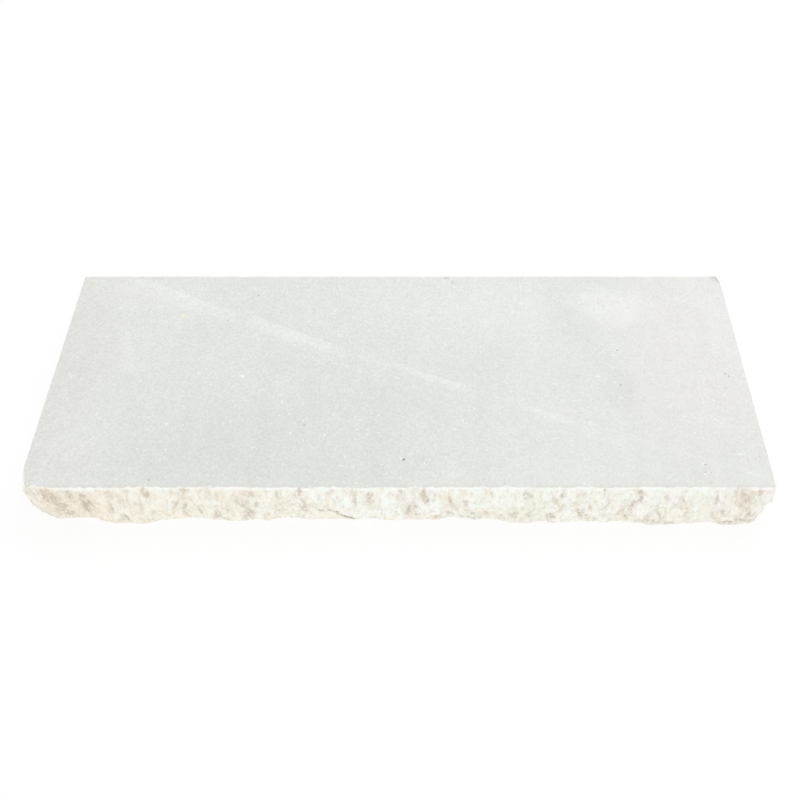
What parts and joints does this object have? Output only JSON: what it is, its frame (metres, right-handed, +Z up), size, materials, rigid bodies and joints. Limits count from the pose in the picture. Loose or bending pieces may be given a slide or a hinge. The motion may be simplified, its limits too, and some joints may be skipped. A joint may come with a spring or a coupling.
{
  "type": "wall coping stone",
  "caption": "Flat slab of pale natural stone with sawn top, bed, ends and back and a rock-pitched front edge, laid along the top of a wall to shed rain.",
  "frame": {"origin": "middle of the sawn bed, which rests on the wall, below the middle of the sawn top", "axes": "+X along the wall, +Y from the rock-pitched front to the sawn back, +Z up through the sawn top"},
  "size_m": [0.6, 0.2558, 0.05],
  "materials": {
    "limestone": "matte"
  },
  "bodies": {
    "root": {"coping_stone": "limestone"}
  },
  "joints": []
}
